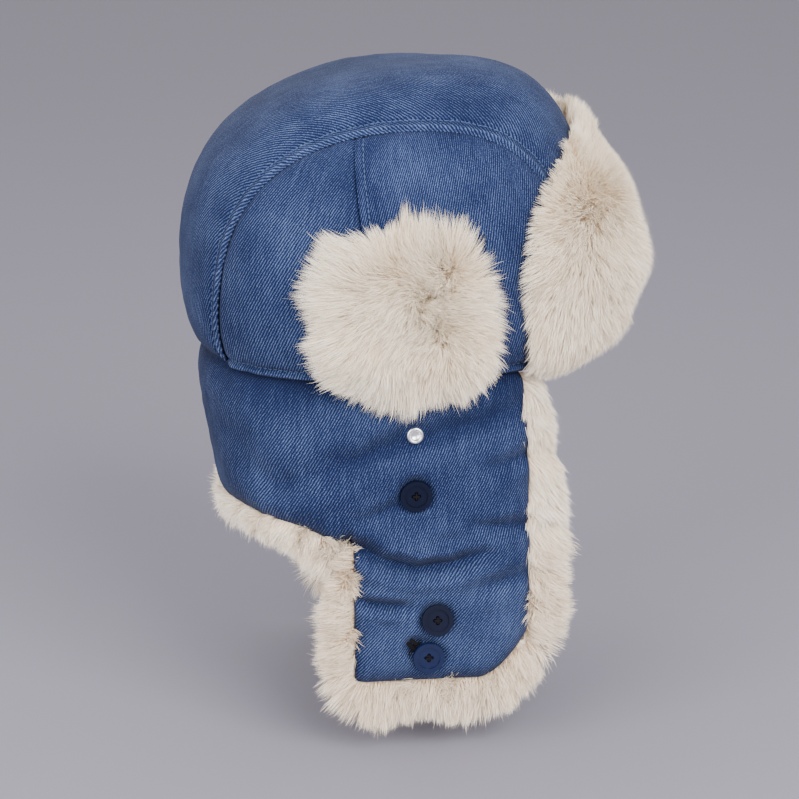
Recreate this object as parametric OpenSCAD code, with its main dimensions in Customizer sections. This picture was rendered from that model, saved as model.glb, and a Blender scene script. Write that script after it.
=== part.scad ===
// Trapper hat: a padded denim crown with a neck curtain, fur-lined ear flaps whose lower halves
// fold up as chin tabs, a turned-up fur front flap and a fur patch over each ear.
// The hat faces -Y, the wearer's right is -X and Z points up. The origin is the centre of the
// head opening, at the seam between the crown and the curtain.

/* [Crown] */
// Outside length of the crown at its widest level
crown_length = 236; // [220:1:260]
// Outside width of the crown at its widest level
crown_width = 200; // [180:1:215]
// Height of the crown above the head opening
crown_height = 165; // [150:1:190]
// Level of the crown's widest ring
widest_level = 50; // [40:1:70]
// How much of the widest ring is left at the head opening
rim_ratio = 0.93; // [0.88:0.01:0.96]
// How far the top of the crown leans to the front
crown_lean = 24; // [0:1:35]
// Half width of the top strip at the top of the crown
strip_top = 71; // [55:1:80]
// Half width of the top strip at the head opening
strip_rim = 50; // [40:1:60]

/* [Curtain and flaps] */
// Length of the neck curtain below the head opening
neck_drop = 84; // [70:1:110]
// Length of the denim of an ear flap, chin tab included
flap_drop = 176; // [150:1:200]
// Distance from the head opening down to the crease of the chin tab
crease_drop = 109; // [95:1:120]
// Front edge of the ear flap's denim, measured forward of the centre
flap_front = 73; // [65:1:85]
// Rear edge of the ear flap, measured behind the centre
flap_rear = 28; // [15:1:35]
// How far the bottom of an ear flap stands out from its top
flap_flare = 14; // [0:1:20]
// Height of the turned-up front flap
front_flap_height = 136; // [120:1:150]
// Half of the angle the front flap wraps around the front
front_flap_angle = 42; // [30:1:48]
// Width of the fur patch over the ear
patch_width = 88; // [70:1:95]
// Height of the fur patch over the ear
patch_height = 84; // [70:1:90]

/* [Layers] */
// Thickness of the denim
denim = 1.5; // [1:0.1:2.5]
// Thickness of the crown wadding
wadding = 9; // [6:0.5:12]
// Thickness of the crown lining
lining = 2; // [1:0.5:3]
// Thickness of the fur lining
fur_lining = 12; // [8:0.5:16]
// How far the fur lining reaches past the edges of the denim
fur_fringe = 22; // [12:1:26]
// Depth of the fur on the front flap
front_fur = 25; // [18:1:32]
// Depth of the fur on the ear patches
patch_fur = 20; // [14:1:26]

/* [Fittings] */
// Diameter of the buttons
button_d = 18; // [15:0.5:20]
// Diameter of the press stud
stud_d = 10; // [8:0.5:12]

/* [Hidden] */
gap = 0.3;                              // clearance between neighbouring panels
layer_gap = 0.8;                        // clearance between the layers on top of each other
crown_power = 2.5;                      // roundness of the crown seen from the side
plan_power = 2.4;                       // roundness of the crown seen from above
lean_power = 3;
tilt_power = 1.6;                       // extra squareness of the flaps at their lower ends
neck_tuck = 13;                         // how far the curtain tucks in at the back of the neck
cheek_reach = 26;                       // how much flatter the flaps run towards the front
top_radius = crown_height - widest_level;
low_radius = widest_level / pow(1 - pow(rim_ratio, crown_power), 1 / crown_power);
body_depth = denim + wadding + lining + 2 * layer_gap;
stand_off = 12;                         // how far the front flap stands off the crown
button_t = 3.2;
button_gap = 1.6;                       // length of the thread shank under a button
hole_d = 2;
hole_pitch = 3.4;
thread_d = 0.9;
shank_d = 3;
upper_button = [-7.5, -65];              // [y, z] of the fittings on the right side
stud_at = [-7.5, -31];
tilted_button = [-19, -138];
lower_button = [-14, -160];
$fn = 40;

// ---- the hat's surface ----

function lerp(a, b, t) = a + (b - a) * t;

function below(z) = max(0, -z);

// Fraction of the widest ring that is left at height z; depth is how far inside the surface
function ring_ratio(z, depth) =
    z >= widest_level
        ? pow(max(0, 1 - pow((z - widest_level) / (top_radius - depth), crown_power)),
              1 / crown_power)
        : z >= 0
            ? pow(1 - pow((widest_level - z) / low_radius, crown_power), 1 / crown_power)
            : rim_ratio;

function half_width(z, depth) =
    (crown_width / 2 - depth) * ring_ratio(z, depth) + flap_flare * below(z) / flap_drop;

function rear_length(z, depth) =
    (crown_length / 2 - depth) * ring_ratio(z, depth)
    - neck_tuck * pow(min(1, below(z) / neck_drop), 1.2);

function front_length(z, depth) =
    (crown_length / 2 - depth) * ring_ratio(z, depth)
    + cheek_reach * min(1, below(z) / neck_drop);

function power_at(z) = plan_power + tilt_power * below(z) / flap_drop;

function lean_at(z) =
    crown_lean * pow(max(0, z - widest_level) / top_radius, lean_power);

// Point of the surface at height z, a turn of a degrees from the back towards the right side
function skin(a, z, depth = 0) =
    let (p = power_at(z),
         l = cos(a) > 0 ? rear_length(z, depth) : front_length(z, depth),
         r = pow(pow(abs(sin(a)) / half_width(z, depth), p) + pow(abs(cos(a)) / l, p), -1 / p))
    [-r * sin(a), r * cos(a) - lean_at(z), z];

// Distance of the surface from the middle plane at y, z
function side(y, z, depth = 0) =
    let (p = power_at(z),
         s = y + lean_at(z),
         l = s > 0 ? rear_length(z, depth) : front_length(z, depth))
    half_width(z, depth) * pow(max(0, 1 - pow(abs(s) / l, p)), 1 / p);

function on_side(y, z, depth = 0) = [-side(y, z, depth), y, z];

// Point of a dome: (u, v) runs over a square that is wrapped onto the dome
function dome(u, v, depth) =
    let (a = 2 * u - 1,
         b = 2 * v - 1,
         r = max(abs(a), abs(b)),
         turn = r < 0.001 ? 0
             : abs(b) >= abs(a) ? (b > 0 ? -45 * a / b : 180 - 45 * a / b)
             : (a > 0 ? 270 + 45 * b / a : 90 + 45 * b / a),
         wide = 0.7,
         rise = 90 * (1 - r / wide),
         reach = pow(pow(cos(rise), crown_power) + pow(abs(sin(rise)), crown_power),
                     -1 / crown_power),
         z = r > wide ? widest_level * (1 - r) / (1 - wide)
             : widest_level + (top_radius - depth) * reach * sin(rise))
    r < 0.001 ? [0, -lean_at(z), z] : skin(turn, min(z, crown_height - depth - 0.001), depth);

// ---- seams between the crown panels ----

// Half width of the top strip at height z
function strip_half(z) =
    lerp(strip_rim, strip_top, sin(90 * min(1, z / (crown_height - 20))));

// Height at which the strip's seam crosses the turn a
function seam_height(a, low = 0, high = 172, steps = 16) =
    steps == 0 ? low
        : let (mid = (low + high) / 2)
          abs(skin(a, mid)[0]) > strip_half(mid)
              ? seam_height(a, mid, high, steps - 1)
              : seam_height(a, low, mid, steps - 1);

// Turn at which the strip's seam meets the head opening
function rim_turn(low = 0, high = 60, steps = 16) =
    let (mid = (low + high) / 2)
    steps == 0 ? mid
        : abs(skin(mid, 0)[0]) > strip_rim ? rim_turn(low, mid, steps - 1)
            : rim_turn(mid, high, steps - 1);

first_turn = rim_turn();

// The seam is cut into equal rows that are short near the head opening, where it is steep
seam_rows = 40;
side_seam_row = 18;

function seam_turn(row) =
    let (t = row / seam_rows) lerp(first_turn, 180 - first_turn, t * t * (3 - 2 * t));

// Point of the strip abreast of its seam at the turn a; t runs from one seam to the other.
// Below the widest level it stays at the seam's height, above it keeps the seam's direction.
function strip_point(a, t, depth, low = 0.4, high = 1.8, steps = 18) =
    let (seam = skin(a, max(0.01, seam_height(a))),
         x = t * (abs(seam[0]) - gap / 2 - depth),
         mid = (low + high) / 2,
         y = seam[1] * mid,
         z = seam[2] < widest_level ? seam[2] : widest_level + (seam[2] - widest_level) * mid)
    steps == 0 ? [x, y, z]
        : inside(x, y, z, depth)
            ? strip_point(a, t, depth, mid, high, steps - 1)
            : strip_point(a, t, depth, low, mid, steps - 1);

function inside(x, y, z, depth) =
    let (s = y + lean_at(z),
         across = pow(pow(abs(x) / (crown_width / 2 - depth), plan_power)
                      + pow(abs(s) / (crown_length / 2 - depth), plan_power), 1 / plan_power),
         up = z > widest_level ? (z - widest_level) / (top_radius - depth)
             : (widest_level - z) / low_radius)
    pow(across, crown_power) + pow(up, crown_power) < 1;

// ---- closed solids made of two skins ----

// f(u, v, s) gives the outer skin at s = 0 and the inner skin at s = 1
module slab(f, nu, nv) {
    row = nv + 1;
    skin_count = (nu + 1) * row;
    points = [for (s = [0, 1], i = [0:nu], j = [0:nv]) f(i / nu, j / nv, s)];
    function id(s, i, j) = s * skin_count + i * row + j;
    quads = concat(
        [for (i = [0:nu - 1], j = [0:nv - 1])
            [id(0, i, j), id(0, i, j + 1), id(0, i + 1, j + 1), id(0, i + 1, j)]],
        [for (i = [0:nu - 1], j = [0:nv - 1])
            [id(1, i, j), id(1, i + 1, j), id(1, i + 1, j + 1), id(1, i, j + 1)]],
        [for (i = [0:nu - 1])
            [id(0, i, 0), id(0, i + 1, 0), id(1, i + 1, 0), id(1, i, 0)]],
        [for (i = [0:nu - 1])
            [id(0, i + 1, nv), id(0, i, nv), id(1, i, nv), id(1, i + 1, nv)]],
        [for (j = [0:nv - 1])
            [id(0, 0, j + 1), id(0, 0, j), id(1, 0, j), id(1, 0, j + 1)]],
        [for (j = [0:nv - 1])
            [id(0, nu, j), id(0, nu, j + 1), id(1, nu, j + 1), id(1, nu, j)]]);
    triangles = [for (q = quads, k = [0, 1]) k == 0 ? [q[0], q[1], q[2]] : [q[0], q[2], q[3]]];
    polyhedron(points = points, faces = triangles, convexity = 6);
}

// Thickness left at u, v of a pad that is rounded off towards its edges
function pad(u, v) =
    pow(max(0.02, 1 - pow(abs(2 * u - 1), 8)), 0.4) * pow(max(0.02, 1 - pow(abs(2 * v - 1), 8)), 0.4);

module on_the_left() {
    mirror([1, 0, 0]) children();
}

// ---- crown ----

module crown_top_strip() {
    color("#33527a")
        slab(function (u, v, s)
            strip_point(seam_turn(u * seam_rows), 1 - 2 * v, s * denim), seam_rows, 12);
}

// Panel between two rows of the strip's seam, kept clear of the next one by a small turn
module crown_panel(from_row, to_row, nudge) {
    slab(function (u, v, s)
        let (a = seam_turn(lerp(from_row, to_row, u)) + nudge)
        skin(a, lerp(0, seam_height(a) - 1, v), s * denim), to_row - from_row, 14);
}

module right_rear_crown_panel() {
    color("#2f4f78") crown_panel(1, side_seam_row, -0.1);
}

module right_front_crown_panel() {
    color("#365a86") crown_panel(side_seam_row, seam_rows - 1, 0.1);
}

module left_rear_crown_panel() {
    color("#2f4f78") on_the_left() right_rear_crown_panel();
}

module left_front_crown_panel() {
    color("#365a86") on_the_left() right_front_crown_panel();
}

module crown_wadding() {
    color("#e8e6df")
        slab(function (u, v, s) dome(u, v, denim + layer_gap + s * wadding), 24, 24);
}

module crown_lining() {
    color("#2b3444")
        slab(function (u, v, s) dome(u, v, denim + wadding + 2 * layer_gap + s * lining), 24, 24);
}

module sweatband() {
    band_height = 28;
    band_join = 3;
    color("#1f2733")
        slab(function (u, v, s)
            skin(lerp(band_join, 360 - band_join, u), lerp(1, band_height, v),
                 body_depth + 2 * layer_gap + 1.2 * s), 48, 2);
}

// ---- neck curtain ----

function curtain_edge(z, depth) =
    atan2(side(flap_rear + gap, z, depth), flap_rear + gap);

module neck_layer(depth, thickness, drop) {
    slab(function (u, v, s)
        let (z = lerp(-drop, -gap, v), inset = depth + s * thickness, a = curtain_edge(z, inset))
        skin(lerp(-a, a, u), z, inset), 28, 8);
}

module neck_curtain_denim() {
    color("#3a5f8c") neck_layer(0, denim, neck_drop);
}

module neck_curtain_fur() {
    color("#e6ddca") neck_layer(denim + layer_gap, fur_lining, neck_drop + fur_fringe);
}

// ---- ear flaps and chin tabs, drawn on the right side ----

top_gap = 0.8;

function flap_edge(u, front) = lerp(flap_rear, -front, u);

// Front edge of the fur, which is narrow at the top and full width lower down
function fur_front(z) = flap_front + lerp(12, fur_fringe, min(1, below(z) / 60));

// Bottom edge of the chin tab, cut off towards the front
function tab_bottom(y, drop) =
    let (cut = max(0, -y - 0.6 * flap_front) / (0.4 * flap_front)) -drop + 25 * pow(cut, 1.5);

module right_ear_flap_denim() {
    color("#3a5f8c")
        slab(function (u, v, s)
            on_side(flap_edge(u, flap_front), lerp(-crease_drop, -top_gap, v), s * denim), 10, 8);
}

module right_ear_flap_fur() {
    color("#e6ddca")
        slab(function (u, v, s)
            let (z = lerp(-crease_drop, -top_gap, v))
            on_side(flap_edge(u, fur_front(z)), z, denim + layer_gap + s * fur_lining), 10, 8);
}

module right_chin_tab_denim() {
    color("#3a5f8c")
        slab(function (u, v, s)
            let (y = flap_edge(u, flap_front))
            on_side(y, lerp(tab_bottom(y, flap_drop), -crease_drop - gap, v), s * denim), 10, 6);
}

module right_chin_tab_fur() {
    color("#e6ddca")
        slab(function (u, v, s)
            let (y = flap_edge(u, flap_front + fur_fringe))
            on_side(y, lerp(tab_bottom(y + fur_fringe / 2, flap_drop + fur_fringe),
                            -crease_drop - gap, v), denim + layer_gap + s * fur_lining), 10, 6);
}

module left_ear_flap_denim() {
    on_the_left() right_ear_flap_denim();
}

module left_ear_flap_fur() {
    on_the_left() right_ear_flap_fur();
}

module left_chin_tab_denim() {
    on_the_left() right_chin_tab_denim();
}

module left_chin_tab_fur() {
    on_the_left() right_chin_tab_fur();
}

// ---- front flap, turned up ----

front_low = 4;
flap_rest = 2.5;                          // distance between the crown and the flap's edges

module front_layer(depth, thickness, spread, high) {
    slab(function (u, v, s)
        let (z = lerp(front_low, high, v),
             puff = stand_off * sin(180 * min(1, (z - front_low) / (front_flap_height - front_low))),
             out = depth + puff + (1 - s) * thickness * (thickness > 5 ? pad(u, v) : 1))
        skin(180 + lerp(-spread, spread, u), z, -out), 20, 14);
}

module front_flap_backing() {
    color("#2f4f78")
        front_layer(flap_rest, denim, front_flap_angle, front_flap_height);
}

module front_flap_fur() {
    color("#e6ddca")
        front_layer(flap_rest + denim + layer_gap, front_fur, front_flap_angle + 3,
                    front_flap_height + 8);
}

// ---- fur patch over the ear, drawn on the right side ----

patch_mid_y = -3;
patch_bottom = 1;

function patch_point(u, v, grow, depth) =
    let (half = patch_width / 2 + grow,
         z = lerp(patch_bottom - 0.4 * grow, patch_bottom + patch_height, v),
         sag = 6 * pow(1 - v, 2))
    on_side(lerp(patch_mid_y + half, patch_mid_y - half, u), z, depth - sag);

module right_ear_patch_backing() {
    color("#2f4f78")
        slab(function (u, v, s) patch_point(u, v, 0, -0.6 - denim + s * denim), 10, 8);
}

module right_ear_patch_fur() {
    color("#ece4d2")
        slab(function (u, v, s)
            patch_point(u, v, 8, -0.6 - denim - layer_gap - (1 - s) * patch_fur * pad(u, v)), 12, 12);
}

module left_ear_patch_backing() {
    on_the_left() right_ear_patch_backing();
}

module left_ear_patch_fur() {
    on_the_left() right_ear_patch_fur();
}

// ---- press stud and its socket ----

// Puts a part's +Z along the outward direction of the right side at [y, z]
module at_right(at, lift = 0) {
    translate([-side(at[0], at[1]) - lift, at[0], at[1]])
        rotate([0, -90, 0])
            children();
}

module right_press_stud() {
    flange_t = 1.2;
    post_d = 4;
    color("#c9ccd0")
        at_right(stud_at, 0.7)
            difference() {
                union() {
                    cylinder(h = flange_t, d = stud_d);
                    cylinder(h = flange_t + 0.8, d = stud_d - 2.4);
                }
                translate([0, 0, flange_t - 0.2])
                    cylinder(h = 2, d = post_d);
            }
}

module left_press_stud() {
    on_the_left() right_press_stud();
}

module right_press_socket() {
    socket_t = 2.4;
    socket_at = [stud_at[0], 6];
    color("#9da1a6")
        at_right(socket_at, 1.8)
            difference() {
                cylinder(h = socket_t, d = stud_d);
                translate([0, 0, -1])
                    cylinder(h = 2, d = stud_d - 5);
            }
}

module left_press_socket() {
    on_the_left() right_press_socket();
}

// ---- buttons ----

module hole_places() {
    for (a = [0:90:270])
        rotate(a)
            translate([hole_pitch / 2, 0, 0])
                children();
}

// Flat button with a raised rim and four holes
module button() {
    rim_t = 1;
    difference() {
        cylinder(h = button_t, d = button_d);
        translate([0, 0, button_t - rim_t])
            cylinder(h = 2 * rim_t, d = button_d - 5);
        hole_places()
            translate([0, 0, -1])
                cylinder(h = button_t + 2, d = hole_d);
    }
}

// Thread that holds a button: a shank below it and a cross through its holes
module button_thread() {
    seat = 2.2;
    translate([0, 0, -button_gap])
        cylinder(h = button_gap - 0.05, d = shank_d);
    hole_places()
        translate([0, 0, -0.6])
            cylinder(h = seat + 1.2, d = thread_d);
    for (a = [0, 90])
        rotate(a)
            translate([-hole_pitch / 2, -thread_d / 2, seat + 0.1])
                cube([hole_pitch, thread_d, thread_d]);
    translate([0, 0, -0.65])
        cylinder(h = 0.6, d = hole_pitch + thread_d);
}

button_lift = button_gap + 0.6;
tilt = [0, 14, 0];

module right_upper_button() {
    color("#1d2536") at_right(upper_button, button_lift) button();
}

module right_tilted_button() {
    color("#161b28") at_right(tilted_button, button_lift + 2.4) rotate(tilt) button();
}

module right_lower_button() {
    color("#26406b") at_right(lower_button, button_lift + 1) button();
}

module right_upper_button_thread() {
    color("#23314a") at_right(upper_button, button_lift) button_thread();
}

module right_tab_button_threads() {
    color("#23314a") {
        at_right(tilted_button, button_lift + 2.4) rotate(tilt) button_thread();
        at_right(lower_button, button_lift + 1) button_thread();
    }
}

module left_upper_button() {
    on_the_left() right_upper_button();
}

module left_tilted_button() {
    on_the_left() right_tilted_button();
}

module left_lower_button() {
    on_the_left() right_lower_button();
}

module left_upper_button_thread() {
    on_the_left() right_upper_button_thread();
}

module left_tab_button_threads() {
    on_the_left() right_tab_button_threads();
}

// Stitched oval around the slit of the buttonhole
module right_buttonhole_stitching() {
    slit = 20;
    bar = 2.4;
    color("#1b2230")
        at_right([lower_button[0] + 7, lower_button[1] + 5], 0.9)
            rotate(45)
                linear_extrude(0.6)
                    difference() {
                        union() {
                            square([slit, 2 * bar], center = true);
                            for (x = [-slit / 2, slit / 2])
                                translate([x, 0]) circle(bar);
                        }
                        square([slit, 1], center = true);
                    }
}

module left_buttonhole_stitching() {
    on_the_left() right_buttonhole_stitching();
}

// ---- nodes ----

crown_top_strip();
right_front_crown_panel();
right_rear_crown_panel();
left_front_crown_panel();
left_rear_crown_panel();
crown_wadding();
crown_lining();
sweatband();
neck_curtain_denim();
neck_curtain_fur();
front_flap_backing();
front_flap_fur();
right_ear_flap_denim();
right_ear_flap_fur();
left_ear_flap_denim();
left_ear_flap_fur();
right_chin_tab_denim();
right_chin_tab_fur();
left_chin_tab_denim();
left_chin_tab_fur();
right_ear_patch_backing();
right_ear_patch_fur();
left_ear_patch_backing();
left_ear_patch_fur();
right_press_stud();
left_press_stud();
right_press_socket();
left_press_socket();
right_upper_button();
left_upper_button();
right_tilted_button();
left_tilted_button();
right_lower_button();
left_lower_button();
right_upper_button_thread();
left_upper_button_thread();
right_tab_button_threads();
left_tab_button_threads();
right_buttonhole_stitching();
left_buttonhole_stitching();
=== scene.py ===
"""Trapper hat in blue denim and cream rabbit fur.

Shapes are worked out in millimetres on the hat's own surface, the same curves that the CAD
uses, and turned into metres when a mesh is made. The hat faces -Y and -X is its right side.
"""

import math

import bpy
import numpy as np
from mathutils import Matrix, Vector
from mathutils.kdtree import KDTree


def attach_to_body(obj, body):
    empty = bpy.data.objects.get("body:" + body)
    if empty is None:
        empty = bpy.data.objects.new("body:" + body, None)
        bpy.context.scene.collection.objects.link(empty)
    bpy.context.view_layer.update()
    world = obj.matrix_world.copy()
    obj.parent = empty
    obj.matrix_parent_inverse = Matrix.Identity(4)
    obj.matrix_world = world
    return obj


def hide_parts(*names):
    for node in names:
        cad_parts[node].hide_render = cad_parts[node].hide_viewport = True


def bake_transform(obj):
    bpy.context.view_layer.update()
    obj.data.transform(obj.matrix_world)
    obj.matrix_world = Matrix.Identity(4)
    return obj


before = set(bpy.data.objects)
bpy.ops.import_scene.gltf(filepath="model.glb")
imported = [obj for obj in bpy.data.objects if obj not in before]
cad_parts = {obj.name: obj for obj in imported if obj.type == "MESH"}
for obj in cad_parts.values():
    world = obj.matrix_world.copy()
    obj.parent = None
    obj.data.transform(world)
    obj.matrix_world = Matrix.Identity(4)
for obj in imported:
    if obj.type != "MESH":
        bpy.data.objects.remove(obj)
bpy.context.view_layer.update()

MM = 0.001

# ---- the hat's measures, in millimetres, as in the CAD ----

CROWN_LENGTH = 236
CROWN_WIDTH = 200
CROWN_HEIGHT = 165
WIDEST_LEVEL = 50
RIM_RATIO = 0.93
CROWN_LEAN = 24
STRIP_TOP = 71
STRIP_RIM = 50
NECK_DROP = 84
FLAP_DROP = 176
CREASE_DROP = 109
FLAP_FRONT = 73
FLAP_REAR = 28
FLAP_FLARE = 14
NECK_TUCK = 13
CHEEK_REACH = 26
FLAP_ANGLE = 42
FLAP_LOW = 2
FLAP_HIGH = 136
FUR_HIGH = 125
PATCH_MID_Y = -3
PATCH_LOW = -1
PATCH_HIGH = 84
PATCH_HALF = 44
DENIM = 1.5
PELT = 2.5
FUR_DEPTH = 12
CROWN_POWER = 2.5
PLAN_POWER = 2.4
TILT_POWER = 1.6
TOP_RADIUS = CROWN_HEIGHT - WIDEST_LEVEL
LOW_RADIUS = WIDEST_LEVEL / (1 - RIM_RATIO**CROWN_POWER) ** (1 / CROWN_POWER)
SPLIT_TURN = 80  # the upright side seam, in degrees round from the back
NECK_ARC = 122  # half of the neck curtain's length round the back


# ---- the hat's surface ----


def below(z):
    return np.maximum(0, -z)


def ring_ratio(z, depth):
    up = np.clip((z - WIDEST_LEVEL) / (TOP_RADIUS - depth), 0, 1)
    down = np.clip((WIDEST_LEVEL - z) / LOW_RADIUS, 0, WIDEST_LEVEL / LOW_RADIUS)
    return (1 - up**CROWN_POWER - down**CROWN_POWER) ** (1 / CROWN_POWER)


def half_width(z, depth):
    return (CROWN_WIDTH / 2 - depth) * ring_ratio(z, depth) + FLAP_FLARE * below(z) / FLAP_DROP


def rear_length(z, depth):
    tuck = NECK_TUCK * np.minimum(1, below(z) / NECK_DROP) ** 1.2
    return (CROWN_LENGTH / 2 - depth) * ring_ratio(z, depth) - tuck


def front_length(z, depth):
    reach = CHEEK_REACH * np.minimum(1, below(z) / NECK_DROP)
    return (CROWN_LENGTH / 2 - depth) * ring_ratio(z, depth) + reach


def power_at(z):
    return PLAN_POWER + TILT_POWER * below(z) / FLAP_DROP


def lean_at(z):
    return CROWN_LEAN * (np.maximum(0, z - WIDEST_LEVEL) / TOP_RADIUS) ** 3


def skin(turn, z, depth=0.0):
    """Point of the surface at height z, a turn in degrees from the back towards the right."""
    c, s = np.cos(np.radians(turn)), np.sin(np.radians(turn))
    power = power_at(z)
    length = np.where(c > 0, rear_length(z, depth), front_length(z, depth))
    wide = np.abs(s) / np.maximum(half_width(z, depth), 0.01)
    long = np.abs(c) / np.maximum(length, 0.01)
    r = (wide**power + long**power) ** (-1 / power)
    return np.stack([-r * s, r * c - lean_at(z), z + 0 * r], -1)


def side(y, z, depth=0.0):
    """Distance of the surface from the middle plane at y, z."""
    power = power_at(z)
    s = y + lean_at(z)
    length = np.where(s > 0, rear_length(z, depth), front_length(z, depth))
    share = np.clip(np.abs(s) / length, 0, 1)
    return half_width(z, depth) * (1 - share**power) ** (1 / power)


def on_side(y, z, depth=0.0):
    return np.stack([-side(y, z, depth), y + 0 * z, z + 0 * y], -1)


# ---- helpers for shapes ----


def unit(v):
    return v / np.maximum(np.linalg.norm(v, axis=-1, keepdims=True), 1e-9)


def lerp(a, b, t):
    return a + (b - a) * t


def ease(t):
    t = np.clip(t, 0, 1)
    return t * t * (3 - 2 * t)


def soft_noise(u, v, seed):
    """Smooth noise from -1 to 1, one bump per unit of u and v."""
    lattice = np.random.default_rng(seed).uniform(-1, 1, (64, 64))
    i, j = np.floor(u).astype(int), np.floor(v).astype(int)
    s, t = ease(u - i), ease(v - j)
    a = lerp(lattice[i % 64, j % 64], lattice[(i + 1) % 64, j % 64], s)
    b = lerp(lattice[i % 64, (j + 1) % 64], lattice[(i + 1) % 64, (j + 1) % 64], s)
    return lerp(a, b, t)


def slopes(shape, u, v, step):
    """The ways in which the surface shape(u, v) runs as u and as v grow."""
    return shape(u + step, v) - shape(u - step, v), shape(u, v + step) - shape(u, v - step)


def normals_of(shape, u, v, step=0.4):
    return unit(np.cross(*slopes(shape, u, v, step)))


def grid_normals(points):
    du, dv = np.gradient(points, axis=0), np.gradient(points, axis=1)
    return unit(np.cross(du, dv))


def steps(count):
    return np.linspace(0, 1, count)


def crowded(count, share=0.7):
    """Steps from 0 to 1 that are finer near both ends, where the seams are."""
    return lerp(steps(count), ease(steps(count)), share)


def grid(u, v):
    return np.meshgrid(u, v, indexing="ij")


def mirrored(points, hand):
    """Points drawn on the right side, moved to the left side if hand is 1."""
    return points * np.array([-hand, 1, 1])


# ---- helpers for meshes ----


def new_mesh(name, vertices, faces, material):
    """Object from vertices in millimetres and an array of faces of one size."""
    mesh = bpy.data.meshes.new(name)
    size = faces.shape[1]
    mesh.vertices.add(len(vertices))
    mesh.vertices.foreach_set("co", (vertices * MM).astype(np.float32).ravel())
    mesh.loops.add(faces.size)
    mesh.loops.foreach_set("vertex_index", faces.astype(np.int32).ravel())
    mesh.polygons.add(len(faces))
    mesh.polygons.foreach_set("loop_start", np.arange(0, faces.size, size, dtype=np.int32))
    mesh.polygons.foreach_set("use_smooth", np.ones(len(faces), bool))
    mesh.update(calc_edges=True)
    mesh.materials.append(material)
    obj = bpy.data.objects.new(name, mesh)
    bpy.context.scene.collection.objects.link(obj)
    return obj


def add_uv(obj, name, values):
    """A UV layer from one pair of numbers per vertex."""
    mesh = obj.data
    layer = mesh.uv_layers.new(name=name)
    index = np.empty(len(mesh.loops), np.int32)
    mesh.loops.foreach_get("vertex_index", index)
    layer.data.foreach_set("uv", values[index].astype(np.float32).ravel())


def add_value(obj, name, values):
    attribute = obj.data.attributes.new(name, "FLOAT", "POINT")
    attribute.data.foreach_set("value", values.astype(np.float32).ravel())


def slab(name, outer, inner, cloth, wear_and_shade, material, hand=-1, flip=False, normals=None):
    """Sheet with thickness between two grids of points; cloth is its flat position in mm."""
    nu, nv = outer.shape[:2]
    ids = np.arange(nu * nv).reshape(nu, nv)
    low = ids + nu * nv
    top = np.stack([ids[:-1, :-1], ids[1:, :-1], ids[1:, 1:], ids[:-1, 1:]], -1).reshape(-1, 4)
    bottom = (top + nu * nv)[:, ::-1]
    rim = [
        np.stack([ids[1:, 0], ids[:-1, 0], low[:-1, 0], low[1:, 0]], -1),
        np.stack([ids[:-1, -1], ids[1:, -1], low[1:, -1], low[:-1, -1]], -1),
        np.stack([ids[0, :-1], ids[0, 1:], low[0, 1:], low[0, :-1]], -1),
        np.stack([ids[-1, 1:], ids[-1, :-1], low[-1, :-1], low[-1, 1:]], -1),
    ]
    faces = np.concatenate([top, bottom] + rim)
    if flip != (hand > 0):
        faces = faces[:, ::-1]
    points = np.concatenate([outer.reshape(-1, 3), inner.reshape(-1, 3)])
    obj = new_mesh(name, mirrored(points, hand), faces, material)
    i, j = grid(np.linspace(0.01, 0.99, nu), np.linspace(0.01, 0.99, nv))
    flat = np.stack([i, j], -1).reshape(-1, 2)
    add_uv(obj, "OFBake", np.concatenate([flat, flat]))
    pattern = cloth.reshape(-1, 2) * MM
    add_uv(obj, "Cloth", np.concatenate([pattern, pattern]))
    # per-vertex tone of the denim: rubbed wear, patches, and painted shade in the seams and folds
    add_value(obj, "WearAndShade", np.concatenate([wear_and_shade.ravel(), wear_and_shade.ravel()]))
    if normals is not None:
        both = np.concatenate([normals.reshape(-1, 3), -normals.reshape(-1, 3)])
        obj.data.normals_split_custom_set_from_vertices(mirrored(both, hand).tolist())
    return obj


def attach(obj, body):
    """Fix a piece to its body, except a piece of a chin tab or curtain, whose transform is only baked into
    its mesh.
    """
    word, part = body.split("_", 1)
    if part == "chin_tab":
        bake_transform(obj)
    elif part == "curtain":
        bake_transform(obj)
    else:
        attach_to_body(obj, body)


def turned(u, v, degrees):
    """Flat cloth coordinates with the cloth's grain turned."""
    c, s = math.cos(math.radians(degrees)), math.sin(math.radians(degrees))
    return np.stack([u * c - v * s, u * s + v * c], -1)


# ---- materials ----


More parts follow.
